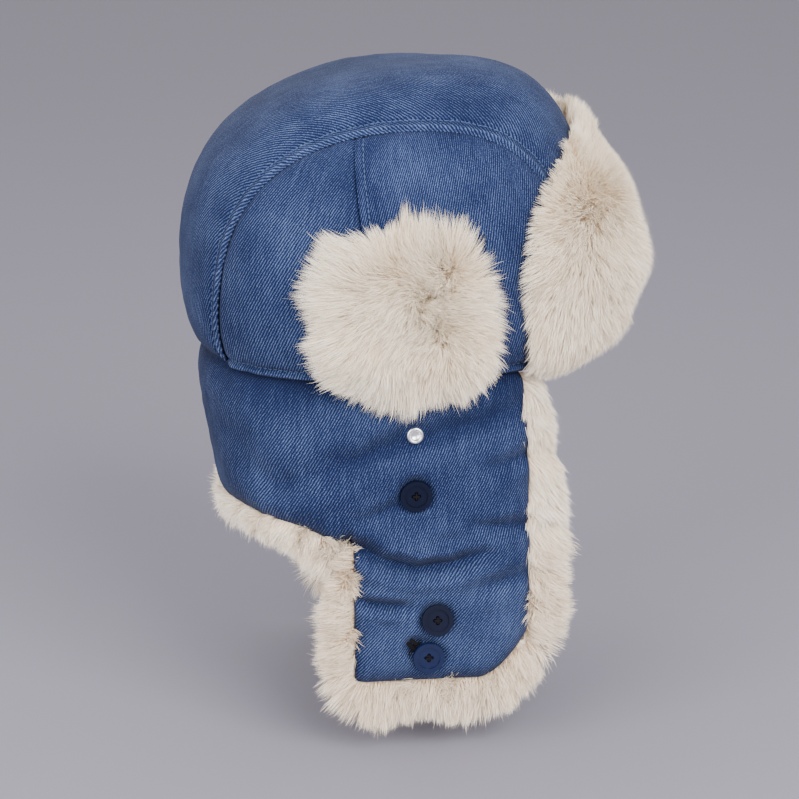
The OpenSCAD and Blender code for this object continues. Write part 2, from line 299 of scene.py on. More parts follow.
class Nodes:
    """Short way to write a material's node tree."""

    def __init__(self, name, roughness, **inputs):
        self.material = bpy.data.materials.new(name)
        self.material.use_nodes = True
        self.tree = self.material.node_tree
        self.shader = self.tree.nodes["Principled BSDF"]
        self.shader.inputs["Roughness"].default_value = roughness
        for key, value in inputs.items():
            self.shader.inputs[key.replace("_", " ")].default_value = value

    def add(self, kind, **settings):
        node = self.tree.nodes.new(kind)
        for key, value in settings.items():
            setattr(node, key, value)
        return node

    def plug(self, source, target):
        if isinstance(source, (int, float, tuple)):
            target.default_value = source
        else:
            self.tree.links.new(source, target)

    def math(self, operation, a, b=0.0, c=0.0):
        node = self.add("ShaderNodeMath", operation=operation)
        for value, socket in zip((a, b, c), node.inputs):
            self.plug(value, socket)
        return node.outputs[0]

    def uv(self, layer):
        return self.add("ShaderNodeUVMap", uv_map=layer).outputs[0]

    def value(self, name):
        return self.add("ShaderNodeAttribute", attribute_name=name).outputs["Fac"]

    def scaled(self, vector, scale):
        node = self.add("ShaderNodeMapping")
        self.plug(vector, node.inputs["Vector"])
        node.inputs["Scale"].default_value = scale
        return node.outputs[0]

    def noise(self, vector, scale, detail=2.0, rough=0.5):
        node = self.add("ShaderNodeTexNoise")
        self.plug(vector, node.inputs["Vector"])
        node.inputs["Scale"].default_value = scale
        node.inputs["Detail"].default_value = detail
        node.inputs["Roughness"].default_value = rough
        return node.outputs["Fac"]

    def mix(self, factor, a, b, blend="MIX"):
        node = self.add("ShaderNodeMix", data_type="RGBA", blend_type=blend)
        # a colour mix has its factor in socket 0 and its two colours in 6 and 7
        for value, socket in ((factor, 0), (a, 6), (b, 7)):
            self.plug(value, node.inputs[socket])
        return node.outputs[2]

    def ramp(self, factor, stops):
        node = self.add("ShaderNodeValToRGB")
        self.plug(factor, node.inputs[0])
        ramp = node.color_ramp
        while len(ramp.elements) < len(stops):
            ramp.elements.new(0.5)
        for element, (place, color) in zip(ramp.elements, stops):
            element.position = place
            element.color = (*color, 1)
        return node.outputs[0]

    def bump(self, height, strength, distance):
        node = self.add("ShaderNodeBump")
        node.inputs["Strength"].default_value = strength
        node.inputs["Distance"].default_value = distance
        self.plug(height, node.inputs["Height"])
        self.plug(node.outputs[0], self.shader.inputs["Normal"])

    def color(self, source):
        self.plug(source, self.shader.inputs["Base Color"])


def denim_material(name, dark, middle, light, twill=1.35, angle=27):
    """Right-hand twill: white weft showing between slanting blue warp lines."""
    n = Nodes(name, 0.86, Specular_IOR_Level=0.15, Sheen_Weight=0.03)
    uv = n.uv("Cloth")
    wobble = n.noise(uv, 420, 1)
    split = n.add("ShaderNodeSeparateXYZ")
    n.plug(uv, split.inputs[0])
    turn = 2 * math.pi / (twill * MM)
    across = n.math("MULTIPLY", split.outputs[0], turn * math.cos(math.radians(angle)))
    along = n.math("MULTIPLY", split.outputs[1], -turn * math.sin(math.radians(angle)))
    phase = n.math("MULTIPLY_ADD", wobble, 3.2, n.math("ADD", across, along))
    lines = n.math("MULTIPLY_ADD", n.math("SINE", phase), 0.5, 0.5)
    flecks = n.noise(uv, 1500, 1)
    slubs = n.noise(n.scaled(uv, (700, 45, 1)), 1, 2)
    patches = n.noise(uv, 28, 3, 0.6)
    tone = n.math("MULTIPLY_ADD", lines, 0.70, -0.35)
    for grain, gain in ((flecks, 1.2), (slubs, 0.45), (patches, 0.55)):
        tone = n.math("MULTIPLY_ADD", n.math("SUBTRACT", grain, 0.5), gain, tone)
    # the per-vertex tone adds rubbed wear and painted shade, darker in the seams and folds
    tone = n.math("ADD", n.math("ADD", tone, n.value("WearAndShade")), 0.36)
    n.color(n.ramp(tone, [(0.0, dark), (0.5, middle), (1.0, light)]))
    height = n.math("MULTIPLY_ADD", flecks, 0.6, lines)
    n.bump(height, 0.55, 0.0004)
    return n.material


def fur_material(name, root, middle, tip):
    """Hair coloured from root to tip along its V, with each hair's own shade along U."""
    n = Nodes(name, 0.62, Specular_IOR_Level=0.3, Sheen_Weight=0.1)
    split = n.add("ShaderNodeSeparateXYZ")
    n.plug(n.uv("OFBake"), split.inputs[0])
    along = n.ramp(split.outputs[1], [(0.0, root), (0.45, middle), (1.0, tip)])
    shades = [(0.0, (0.93, 0.85, 0.74)), (0.4, (0.98, 0.95, 0.91)), (0.8, (1, 1, 1))]
    shade = n.ramp(split.outputs[0], shades)
    n.color(n.mix(1.0, along, shade, "MULTIPLY"))
    return n.material


def woven_material(name, color, other, pitch=0.9, roughness=0.85):
    """Plain woven cloth: over and under threads of one colour with a little variation."""
    n = Nodes(name, roughness, Specular_IOR_Level=0.25)
    uv = n.uv("Cloth")
    split = n.add("ShaderNodeSeparateXYZ")
    n.plug(uv, split.inputs[0])
    turn = 2 * math.pi / (pitch * MM)
    a = n.math("SINE", n.math("MULTIPLY", split.outputs[0], turn))
    b = n.math("SINE", n.math("MULTIPLY", split.outputs[1], turn))
    weave = n.math("MULTIPLY_ADD", n.math("MULTIPLY", a, b), 0.25, 0.5)
    cloud = n.noise(uv, 60, 3)
    share = n.math("MULTIPLY_ADD", cloud, 0.6, n.math("MULTIPLY", weave, 0.4))
    n.color(n.mix(share, (*color, 1), (*other, 1)))
    n.bump(weave, 0.5, 0.0003)
    return n.material


def object_material(name, color, other, roughness, scale, bump=0.1, **inputs):
    """Hard or soft piece coloured by a cloudy mix in its own coordinates."""
    n = Nodes(name, roughness, **inputs)
    place = n.add("ShaderNodeTexCoord").outputs["Object"]
    cloud = n.noise(place, scale, 3)
    fine = n.noise(place, scale * 9, 2)
    share = n.math("MULTIPLY_ADD", fine, 0.4, n.math("MULTIPLY", cloud, 0.7))
    n.color(n.mix(share, (*color, 1), (*other, 1)))
    n.bump(fine, bump, 0.0002)
    return n.material


DENIM_DARK = (0.0015, 0.004, 0.024)
DENIM_MID = (0.010, 0.022, 0.078)
DENIM_LIGHT = (0.098, 0.138, 0.255)
denim = denim_material("denim", DENIM_DARK, DENIM_MID, DENIM_LIGHT)
denim_worn = denim_material("denim_worn", DENIM_DARK, (0.011, 0.023, 0.084), DENIM_LIGHT)
lining_cloth = woven_material("lining_cloth", (0.012, 0.017, 0.035), (0.03, 0.04, 0.07), 0.7, 0.5)
band_cloth = woven_material("band_cloth", (0.008, 0.01, 0.02), (0.02, 0.025, 0.04), 1.2)
long_fur = fur_material("long_fur", (0.90, 0.74, 0.55), (0.98, 0.87, 0.71), (1.0, 0.92, 0.79))
short_fur = fur_material("short_fur", (0.90, 0.75, 0.57), (0.98, 0.87, 0.73), (1.0, 0.93, 0.82))
tab_fur = fur_material("tab_fur", (0.84, 0.68, 0.49), (0.94, 0.81, 0.65), (0.98, 0.89, 0.76))
pelt = object_material("pelt", (0.86, 0.76, 0.62), (0.94, 0.86, 0.75), 0.9, 300)
wadding = object_material("wadding", (0.72, 0.71, 0.68), (0.86, 0.85, 0.82), 0.95, 200)
thread_blue = object_material("thread_blue", (0.02, 0.04, 0.11), (0.06, 0.10, 0.20), 0.7, 900)
thread_dark = object_material(
    "thread_dark", (0.003, 0.003, 0.004), (0.010, 0.008, 0.008), 0.9, 900, Specular_IOR_Level=0.1
)
navy = object_material(
    "button_navy", (0.002, 0.003, 0.010), (0.004, 0.006, 0.020), 0.35, 120, Specular_IOR_Level=0.12
)
blue = object_material(
    "button_blue", (0.001, 0.002, 0.012), (0.006, 0.014, 0.060), 0.16, 130, Specular_IOR_Level=0.4
)
silver = object_material("stud_metal", (0.75, 0.75, 0.77), (0.85, 0.85, 0.86), 0.28, 200, Metallic=1.0)

# ---- crown ----


def strip_half(z):
    """Half the top strip's width at a height."""
    share = np.clip(z / (CROWN_HEIGHT - 20), 0, 1)
    return lerp(STRIP_RIM, STRIP_TOP, (share + np.sin(np.pi / 2 * share)) / 2)


def seam_height(turn):
    """Height at which the top strip's seam crosses a turn."""
    low, high = np.zeros_like(turn), np.full_like(turn, CROWN_HEIGHT - 1.0)
    for _ in range(24):
        mid = (low + high) / 2
        outside = np.abs(skin(turn, mid)[..., 0]) > strip_half(mid)
        low, high = np.where(outside, mid, low), np.where(outside, high, mid)
    return low


def rim_turn():
    """Turn at which the strip's seam meets the head opening."""
    turns = np.linspace(5, 60, 2000)
    return float(turns[np.argmin(np.abs(-skin(turns, 0 * turns)[:, 0] - STRIP_RIM))])


FIRST_TURN = rim_turn()
LAST_TURN = 180 - FIRST_TURN


def strip_point(turn, across, depth=0.0):
    """Point of the top strip abreast of its seam; across runs from 1, right, to -1, left."""
    z0 = np.maximum(0.01, seam_height(turn))
    seam = skin(turn, z0)
    x = across * np.abs(seam[..., 0])
    low, high = np.full(x.shape, 0.4), np.full(x.shape, 1.8)
    for _ in range(26):
        mid = (low + high) / 2
        y = seam[..., 1] * mid
        z = np.where(z0 < WIDEST_LEVEL, z0, WIDEST_LEVEL + (z0 - WIDEST_LEVEL) * mid)
        s = y + lean_at(z)
        plan = (np.abs(x) / (CROWN_WIDTH / 2 - depth)) ** PLAN_POWER
        plan = (plan + (np.abs(s) / (CROWN_LENGTH / 2 - depth)) ** PLAN_POWER) ** (1 / PLAN_POWER)
        up = np.where(
            z > WIDEST_LEVEL,
            (z - WIDEST_LEVEL) / (TOP_RADIUS - depth),
            (WIDEST_LEVEL - z) / LOW_RADIUS,
        )
        inside = plan**CROWN_POWER + up**CROWN_POWER < 1
        low, high = np.where(inside, mid, low), np.where(inside, high, mid)
    return np.stack([-x, y, z], -1)


SINK = 2.4  # the cloth's seams lie this far inside the crown's mean surface
PUFF = 4.2  # how far the padding swells it out again between the seams


def padding(*distances):
    """Swelling of the padded cloth, from 0 at a seam to 1 well away from all of them."""
    share = 1.0
    for distance in distances:
        share = share * (1 - 0.9 * np.exp(-np.maximum(distance, 0) / 13))
    return share


def dip(distance, depth, width=3.0):
    """Groove beside a seam, where the stitching pulls the cloth down."""
    return -depth * np.exp(-((np.maximum(distance, 0) / width) ** 2))


def ridge(distance, height, place, width):
    return height * np.exp(-(((distance - place) / width) ** 2))


def pucker(distance, along, seed):
    """Small gathers that run away from a stitched seam."""
    near = np.exp(-distance / 12) * (1 - np.exp(-distance / 2.5))
    return 0.8 * near * soft_noise(along / 5.5 + 7, distance / 30, seed)


def wear_and_shade_from(bulge, along, up, seed):
    """Paler cloth on what stands proud, from rubbing; painted shade, a darker colour, in the seams and
    folds that sink in; faint patches of tone.
    """
    # a negative bulge paints shade into the hollows, a positive one pales the rubbed cloth
    return np.clip(0.035 * bulge, -0.14, 0.04) + 0.05 * soft_noise(along / 22, up / 30, seed)


UNDER_STRIP = 3.0  # how far the panels reach up under the strip
UNDER_TURN = 2.0  # and, in degrees, sideways
UNDER_ENDS = 3.0  # degrees by which they pass under it at their ends
SPLIT_LAP = 0.6  # degrees by which the front panel laps over the rear one
SPLIT_LEAN = 17  # degrees by which the side seam has moved to the back at its top
ARC_PER_DEGREE = 1.72  # cloth round the crown for a degree of turn
RIM_STITCHES = 6.6  # distances of the stitch rows from their seams
SIDE_STITCHES = 4.2
STRIP_STITCHES = 4.6


def crown_panel(name, start, end, grain, hand, seed):
    """Side panel of the crown between two turns, from the head opening up to the top strip."""
    front = end > SPLIT_TURN
    place = steps(100)
    place = place**1.5 if front else 1 - (1 - place) ** 1.5
    place, v = grid(place, crowded(120))
    lean = SPLIT_LEAN * v**3.4
    turn = lerp(start - lean * front, end - lean * (not front), place)
    inward = -UNDER_TURN if front else UNDER_TURN
    top = seam_height(turn + inward) + UNDER_STRIP
    base = skin(turn, lerp(-1.0, top, v), SINK)
    arc = np.cumsum(np.linalg.norm(np.gradient(base, axis=1), axis=-1), axis=1)
    around = (turn - SPLIT_TURN) * ARC_PER_DEGREE
    beside = around + lean * ARC_PER_DEGREE
    slope = np.sqrt(1.02 - grid_normals(base)[..., 0] ** 2)
    to_top = np.maximum(0, (np.abs(base[..., 0]) - strip_half(base[..., 2])) / slope)
    to_split = np.maximum(0, beside if front else -beside)
    bulge = PUFF * padding(to_top, arc, to_split) + dip(to_top, 1.8)
    if front:
        bulge += ridge(to_split, 0.6, 1.7, 1.3) - ridge(to_split, 0.5, SIDE_STITCHES, 0.9)
    else:
        bulge += dip(to_split, 2.0, 2.2)
    bulge += ridge(arc, 1.0, 3.4, 1.5) - ridge(arc, 2.2, RIM_STITCHES, 1.7) + dip(arc, 1.2, 1.6)
    for distance, along, k in ((to_top, around, 1), (arc, around, 2), (to_split, arc, 3)):
        bulge += pucker(distance, along, seed + k)
    inside = ease(np.minimum(np.minimum(to_top, arc), to_split) / 25)
    bulge += 1.1 * inside * soft_noise(around / 30, arc / 34, seed + 5)
    bulge += 0.18 * soft_noise(around / 6, arc / 7, seed + 6)
    outer = base + grid_normals(base) * bulge[..., None]
    inner = outer - grid_normals(outer) * DENIM
    # tone: painted shade darkens the hollows, the seam under the strip, the rim seam and the rear panel's
    # side seam; the ridges beside the rim and side seams are paler from rubbing
    wear_and_shade = wear_and_shade_from(bulge - 2.5, around, arc, seed) - ridge(to_top, 0.35, 0, 1.3)
    wear_and_shade += ridge(arc, 0.1, 3.4, 1.5) - ridge(arc, 0.3, 0, 1.5)
    wear_and_shade += ridge(to_split, 0.16, 1.6, 1.2) if front else -ridge(to_split, 0.35, 0, 1.4)
    material = denim_worn if front else denim
    obj = slab(
        f"{name}_denim", outer, inner, turned(-hand * around, arc, grain), wear_and_shade, material, hand
    )
    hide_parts(name)
    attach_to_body(obj, "crown")
    rows = [("rim_stitches", arc, RIM_STITCHES, 1)]
    if front:
        rows.append(("side_stitches", to_split, SIDE_STITCHES, 0))
    for part, distance, value, axis in rows:
        path = seam_line(outer, distance, value, axis)
        facing = seam_line(grid_normals(outer), distance, value, axis)
        stitch_row(f"{name}_{part}", mirrored(path, hand), mirrored(facing, hand), "crown")


def crown_strip():
    """Padded strip over the top from rim to rim, lapped over the side panels at its seams."""
    nu, nv = 300, 130
    overlap = 1.02
    lateral = overlap * np.sin(np.linspace(0.5, -0.5, nv) * np.pi)
    turn, across = grid(lerp(FIRST_TURN, LAST_TURN, ease(steps(nu))), lateral)
    points = strip_point(turn, across, SINK)
    middle = nv // 2
    step = np.linalg.norm(np.gradient(points[:, middle], axis=0), axis=-1)
    along = np.repeat(np.cumsum(step)[:, None], nv, axis=1)
    half = np.abs(strip_point(turn[:, :1], np.ones((nu, 1)), SINK)[..., 0])
    x = across * half
    to_seam = np.maximum(0, half - np.abs(x)) * 1.25
    to_rim = np.minimum(along, along[-1:] - along)
    bulge = PUFF * padding(to_seam, to_rim) + dip(to_rim, 1.6, 3.0)
    bulge += ridge(to_seam, 1.2, 1.0, 1.2) - ridge(to_seam, 0.8, STRIP_STITCHES, 1.0)
    bulge += pucker(to_seam, along, 41) + pucker(to_rim, x, 42)
    inside = ease(np.minimum(to_seam, to_rim) / 25)
    bulge += 1.2 * inside * soft_noise(along / 34, x / 30 + 9, 43)
    bulge += 0.18 * soft_noise(along / 6, x / 7 + 9, 45)
    center = np.array([0, 0, WIDEST_LEVEL])
    normal = grid_normals(points)
    normal = normal * np.sign((normal * (points - center)).sum(-1, keepdims=True))
    outer = points + normal * bulge[..., None]
    outer[..., 2] -= np.exp(-to_rim / 1.5)
    inner = outer - normal * DENIM
    # tone: painted shade darkens the hollows; the ridge beside each seam is paler from rubbing
    wear_and_shade = wear_and_shade_from(bulge - 2.2, along, x, 44) + ridge(to_seam, 0.2, 0.9, 1.1)
    obj = slab(
        "crown_top_strip_denim", outer, inner, turned(x, along, 0), wear_and_shade, denim,
        flip=grid_normals(outer)[nu // 2, middle, 2] < 0,
    )
    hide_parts("crown_top_strip")
    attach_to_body(obj, "crown")
    for word, half_grid in (("right", slice(0, middle)), ("left", slice(middle + 1, nv))):
        path = seam_line(outer[:, half_grid], to_seam[:, half_grid], STRIP_STITCHES, 1)
        facing = seam_line(normal[:, half_grid], to_seam[:, half_grid], STRIP_STITCHES, 1)
        stitch_row(f"{word}_strip_stitches", path, facing, "crown")


def dome(depth, relief):
    """Grid of points over the whole crown, from the back over the right side and round."""
    turn, r = grid(np.linspace(0, 360, 200), np.linspace(1, 0.02, 90))
    wide = 0.7  # the grid's rings from 1 down to this are below the widest level
    rise = np.radians(90 * np.clip(1 - r / wide, 0, 1))
    reach = (np.cos(rise) ** CROWN_POWER + np.sin(rise) ** CROWN_POWER) ** (-1 / CROWN_POWER)
    z_top = WIDEST_LEVEL + (TOP_RADIUS - depth) * reach * np.sin(rise)
    z = np.where(r > wide, WIDEST_LEVEL * (1 - r) / (1 - wide), z_top)
    z = np.minimum(z, CROWN_HEIGHT - depth - 0.001)
    points = skin(turn, z, depth)
    arc = np.cumsum(np.linalg.norm(np.gradient(points, axis=1), axis=-1), axis=1)
    around = turn * 1.6
    return points, around, arc, relief(around, arc)


def crown_layers():
    """Wadding and quilted lining inside the denim."""
    def lumps(around, up):
        return 0.8 * soft_noise(around / 9, up / 9, 51)

    def quilting(around, up):
        a, b = (around + up) / 26, (around - up) / 26
        line = np.minimum(np.abs(a - np.round(a)), np.abs(b - np.round(b)))
        return 1.8 * np.exp(-((line * 26 / 2.2) ** 2)) - 1.2

    for name, node, depth, thick, relief, material in (
        ("crown_wadding_pad", "crown_wadding", 6.0, 6.0, lumps, wadding),
        ("crown_lining_quilted", "crown_lining", 13.6, 0.5, quilting, lining_cloth),
    ):
        points, around, up, bulge = dome(depth, relief)
        outer = points + grid_normals(points) * bulge[..., None]
        inner = outer - grid_normals(outer) * thick
        cloth = np.stack([around, up], -1)
        obj = slab(name, outer, inner, cloth, 0 * bulge, material)
        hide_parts(node)
        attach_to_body(obj, "crown")


def sweatband():
    """Tape round the inside of the head opening."""
    turn, v = grid(np.linspace(2, 358, 240), steps(10))
    z = lerp(1.0, 28.0, v)
    depth = 13.4 + 0.25 * soft_noise(turn / 4, v * 2, 61)
    outer = skin(turn, z, depth)
    inner = outer - grid_normals(outer) * 1.0
    cloth = np.stack([turn * 1.5, z], -1)
    obj = slab("sweatband_tape", outer, inner, cloth, 0 * v, band_cloth)
    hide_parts("sweatband")
    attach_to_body(obj, "crown")


# ---- curtain, ear flaps and chin tabs ----

# Folds of the curtain as lines of (y, z), with depth and width. The line above the chin tab
# is the deepest, and the cloth bulges over it where the flap is pushed up from below.
FOLDS = (
    (((68, -60), (30, -46), (2, -36), (-27, -30), (-67, -20)), 4.0, 8.0),
    (((31, -83), (2, -71), (-12, -67)), 1.8, 4.0),
    (((30, -92), (12, -103), (-7, -108), (-27, -107), (-45, -101)), 6.0, 5.0),
    (((27, -126), (7, -130), (-2, -131)), 4.2, 3.4),
    (((-51, -52), (-75, -46)), 2.6, 4.5),
    (((-41, -85), (-77, -87)), 3.0, 4.5),
    (((-42, -122), (-74, -114)), 2.2, 5.0),
    (((-10, -94), (-39, -92)), 1.6, 3.5),
    (((98, -30), (80, -52), (62, -66)), 1.6, 8.0),
)
# Places where the cloth swells, with height and radius.
SWELLS = (((-7, -98), 3.6, 12.0), ((8, -118), 2.6, 9.0), ((-52, -68), 2.4, 16.0), ((38, -68), 2.6, 18.0))
# The cloth lies flat under the stud and the buttons sewn to it, within these radii.
STUD_AT = (-7.5, -31)
FRAY_AT = (-6.5, -155)
FITTINGS = (
    (STUD_AT, 7.0), ((-7.5, -65), 10.0), ((-19, -138), 9.5), ((-14, -160), 10.0), (FRAY_AT, 7.0),
)


def line_distance(y, z, line):
    """Distance to a bent line, and how far along it the nearest point is, from 0 to 1."""
    best = np.full(y.shape, 1e9)
    place = np.zeros(y.shape)
    count = len(line) - 1
    for k, (a, b) in enumerate(zip(line[:-1], line[1:])):
        a, b = np.array(a, float), np.array(b, float)
        d = b - a
        t = np.clip(((y - a[0]) * d[0] + (z - a[1]) * d[1]) / (d @ d), 0, 1)
        distance = np.hypot(y - a[0] - t * d[0], z - a[1] - t * d[1])
        closer = distance < best
        best = np.where(closer, distance, best)
        place = np.where(closer, (k + t) / count, place)
    return best, place


def tab_bottom(y):
    """Lower edge of the chin tab, cut up towards its front corner."""
    cut = np.maximum(0, -y - 0.6 * FLAP_FRONT) / (0.4 * FLAP_FRONT)
    return -FLAP_DROP + 25 * np.minimum(cut, 1.3) ** 1.5


def curtain_base(s, z):
    """Curtain before padding: s is the distance forward of the ear flap's rear edge."""
    y = FLAP_REAR - np.maximum(s, 0)
    edge = np.degrees(np.arctan2(side(FLAP_REAR + 0 * z, z), FLAP_REAR))
    turn = edge * (1 + np.minimum(s, 0) / NECK_ARC)
    return np.where((s > 0)[..., None], on_side(y, z), skin(turn, z))


def curtain_bottom(s):
    """Lower edge of the neck curtain, a little lower where it meets the ear flap."""
    behind = ease((np.abs(s) - 60) / 60)
    return -NECK_DROP + 3 - 13 * np.exp(-((s / 22) ** 2)) - 8 * behind


def curtain_relief(s, z):
    """How far the curtain's cloth stands out: padding, seam, edges, folds, swells and gathers."""
    base = curtain_base(s, z)
    y = base[..., 1]
    to_top = below(z)
    to_bottom = z - np.where(s < 0, curtain_bottom(s), tab_bottom(y))
    to_front = FLAP_FRONT + y
    to_rear = np.where(z < curtain_bottom(s), np.maximum(0, s), np.hypot(s, z - curtain_bottom(0 * s)))
    relief = -SINK + 6.4 * (1 - np.exp(-to_top / 12)) + dip(to_top, 1.4, 3.0)
    relief -= 6.5 * np.exp(-np.maximum(to_bottom, 0) / 5.5)
    relief -= 4.0 * np.exp(-np.maximum(to_front, 0) / 4.5) * (s > 0)
    relief -= 4.0 * np.exp(-to_rear / 4.0) * (s > -30)
    for line, depth, width in FOLDS:
        distance, place = line_distance(y, z, line)
        fade = np.sin(np.pi * np.clip(0.12 + 0.80 * place, 0, 1)) ** 0.6
        wander = width * (1 + 0.25 * soft_noise(y / 9 + 9, z / 9 + 9, 75))
        relief -= 1.4 * depth * fade * np.exp(-((distance / wander) ** 1.7))
        relief += fade * ridge(distance, 0.5 * depth, 1.9 * width, width)
    for (cy, cz), height, radius in SWELLS:
        relief += height * np.exp(-((y - cy) ** 2 + (z - cz) ** 2) / radius**2)
    relief += pucker(to_top, s, 71) - 3.4 * ease((z - 0.5) / 3)
    relief += 1.5 * soft_noise(s / 30 + 20, z / 26 + 20, 72) * ease(to_top / 20)
    relief += 0.4 * soft_noise(s / 8 + 20, z / 7 + 20, 73)
    for (cy, cz), radius in FITTINGS:
        near = np.exp(-((np.hypot(y - cy, z - cz) / radius) ** 4))
        relief = lerp(relief, -0.1, near)
    return relief


def curtain_point(s, z):
    return curtain_base(s, z) + normals_of(curtain_base, s, z) * curtain_relief(s, z)[..., None]


def curtain_piece(name, s, z, grain, hand):
    """Denim over a grid of places s, z on the curtain."""
    outer = curtain_point(s, z)
    normal = normals_of(curtain_point, s, z)
    inner = outer - normal * DENIM
    # tone: painted shade darkens the folds and the band under the crown seam; what stands proud is paler
    # from rubbing
    wear_and_shade = wear_and_shade_from(1.5 * (curtain_relief(s, z) - 2.0), s, z, 74) - ridge(below(z), 0.3, 0, 2.0)
    # the tab is paler than the rest
    wear_and_shade += 0.13 * ease((-z - 0.85 * CREASE_DROP) / 35) * (s >= 0) - 0.04
    cloth = turned(-hand * s, z, grain)
    return slab(name, outer, inner, cloth, wear_and_shade, denim, hand, normals=normal)


CURTAIN_TOP = 2.0
SEAM_TUCK = 11  # the neck curtain's extra reach inside the crown
FOLD_BAND = 14  # height of the band that bends where the ear flap is hinged
CREASE_BAND = 100  # how far below the crown seam the chin tab's cloth begins


def fold_top(s):
    """Top of the ear flap's cloth, below the band that bends."""
    return CURTAIN_TOP - FOLD_BAND * ease(s / 6)


def tab_top(s):
    """Top of the chin tab's cloth."""
    return -CREASE_BAND + 3.0 * np.exp(-s / 4)


def curtain(hand, word):
    """One side's neck curtain and ear flap in one cloth, with its fold band and chin tab."""
    neck = np.linspace(-NECK_ARC, 0, 78)[:-1]
    flap = np.linspace(0, FLAP_REAR + FLAP_FRONT, 60)
    # the whole curtain from the centre back to the front edge, above the chin tab
    s, v = grid(np.concatenate([neck, flap]), steps(62))
    # behind the ear flap it reaches up inside the crown, so lifting the flap opens no gap
    tucked = CURTAIN_TOP + SEAM_TUCK * ease((s + 75) / 20) * ease(-s / 8)
    top = np.where(s < 0, tucked, fold_top(s))
    low = np.where(s < 0, curtain_bottom(s), tab_top(s))
    body = curtain_piece(f"{word}_curtain_denim", s, lerp(low, top, v), 0, hand)
    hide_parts(f"{word}_ear_flap_denim", "neck_curtain_denim")
    attach(body, f"{word}_curtain")
    # the band under the crown seam where the flap folds up
    s, v = grid(flap, steps(12))
    fold = curtain_piece(f"{word}_flap_fold_denim", s, lerp(fold_top(s), CURTAIN_TOP, v), 0, hand)
    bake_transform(fold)
    # the chin tab, which creases at its own hinge
    s, v = grid(flap, steps(54))
    tab = curtain_piece(f"{word}_tab_denim", s, lerp(tab_bottom(FLAP_REAR - s), tab_top(s), v), 14, hand)
    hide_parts(f"{word}_chin_tab_denim")
    attach(tab, f"{word}_chin_tab")


# ---- fur ----

LEVELS = (0.0, 0.38, 0.72)  # where each hair has its rows of points, before its tip
HAIRS_A_LOCK = 36
FRONT_HAIRS = 38000  # numbers of hairs
PATCH_HAIRS = 39000
EDGE_HAIRS = 26000
NECK_HAIRS = 36000
LINING_HAIRS = 24000
TAB_LINING_HAIRS = 20000
FRAYED_ENDS = 34  # loose ends of thread at each buttonhole
FRONT_HAIR = 21  # lengths of hair, in millimetres
PATCH_HAIR = 17
EDGE_HAIR = 15
NECK_HAIR = 14
LINING_HAIR = 11


def strands(name, roots, lift, flow, length, hand, body, seed, material, thick=0.42, clump=0.5, wave=0.12):
    """Fur as tapered ribbons. lift is the skin's normal and flow the way the hair is combed."""
    roots, lift, flow = mirrored(roots, hand), mirrored(lift, hand), mirrored(flow, hand)
    rng = np.random.default_rng(seed)
    count = len(roots)
    size = length * (rng.uniform(0.72, 1.12, count) + 0.35 * (rng.random(count) > 0.95))
    start = unit(lift * 0.9 + flow * 0.55 + rng.normal(0, 0.22, (count, 3)))
    end = unit(lift * 0.45 + flow + rng.normal(0, 0.20, (count, 3)))
    tips = roots + size[:, None] * unit(start + end)
    locks = count // HAIRS_A_LOCK + 1
    tree = KDTree(locks)
    leaders = rng.choice(count, locks, replace=False)
    for k, leader in enumerate(leaders):
        tree.insert(roots[leader], k)
    tree.balance()
    nearest = np.array([tree.find(p)[1] for p in roots])
    lead_root, lead_tip = roots[leaders][nearest], tips[leaders][nearest]
    pull = clump * rng.uniform(0.55, 1.1, (count, 1))
    spread = lead_tip + 0.30 * (roots - lead_root) - tips
    axis = unit(tips - roots)
    angle = rng.uniform(-1.35, 1.35, (count, 1))
    flat = unit(np.cross(axis, lift))
    across = np.cos(angle) * flat + np.sin(angle) * unit(np.cross(axis, flat))
    bend = wave * size[:, None] * rng.normal(0, 1, (count, 3))
    rows = []
    for t in LEVELS + (1.0,):
        center = roots + size[:, None] * (start * (t - 0.5 * t * t) + end * 0.5 * t * t)
        center = center + spread * pull * t**1.4 + bend * t * (1 - t) + 0.25 * bend * t * t
        width = 0.5 * thick * (1 - 0.85 * t**1.3)
        if t < 1:
            rows += [center - across * width, center + across * width]
        else:
            rows.append(center)
    points = np.stack(rows, 1)
    per = points.shape[1]
    base = np.arange(count)[:, None] * per
    triangles = np.array([[0, 1, 3], [2, 3, 5], [0, 3, 2], [2, 5, 4], [4, 5, 6]])
    faces = (base[:, None, :] + triangles[None]).reshape(-1, 3)
    obj = new_mesh(name, points.reshape(-1, 3), faces, material)
    along = np.append(np.repeat(LEVELS, 2), 1.0)
    cloud = 0.5 + 0.5 * soft_noise(roots[:, 1] / 16 + 20, roots[:, 2] / 16 + 20, seed)
    shade = 0.25 * rng.uniform(0, 1, leaders.size)[nearest] + rng.uniform(0, 0.3, count) + 0.45 * cloud
    uv = np.stack(np.broadcast_arrays(shade[:, None], along[None]), -1)
    add_uv(obj, "OFBake", np.clip(uv.reshape(-1, 2), 0.01, 0.99))
    attach(obj, body)


def scatter(count, seed):
    rng = np.random.default_rng(seed)
    return rng.uniform(0, 1, count), rng.uniform(0, 1, count)


def pelt_slab(name, outer, inner, hand, body, nodes):
    """Skin under the fur, so no gap shows between hairs."""
    u, v = grid(steps(outer.shape[0]), steps(outer.shape[1]))
    obj = slab(name, outer, inner, np.stack([u * 100, v * 100], -1), 0 * u, pelt, hand)
    if nodes:
        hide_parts(*nodes)
    attach(obj, body)


def pelt_mesh(name, shape, node, body, hand, nu=60, nv=60):
    """Pelt whose outside is a surface of u and v."""
    outer = shape(*grid(steps(nu), steps(nv)))
    pelt_slab(name, outer, outer - grid_normals(outer) * PELT, hand, body, [node])


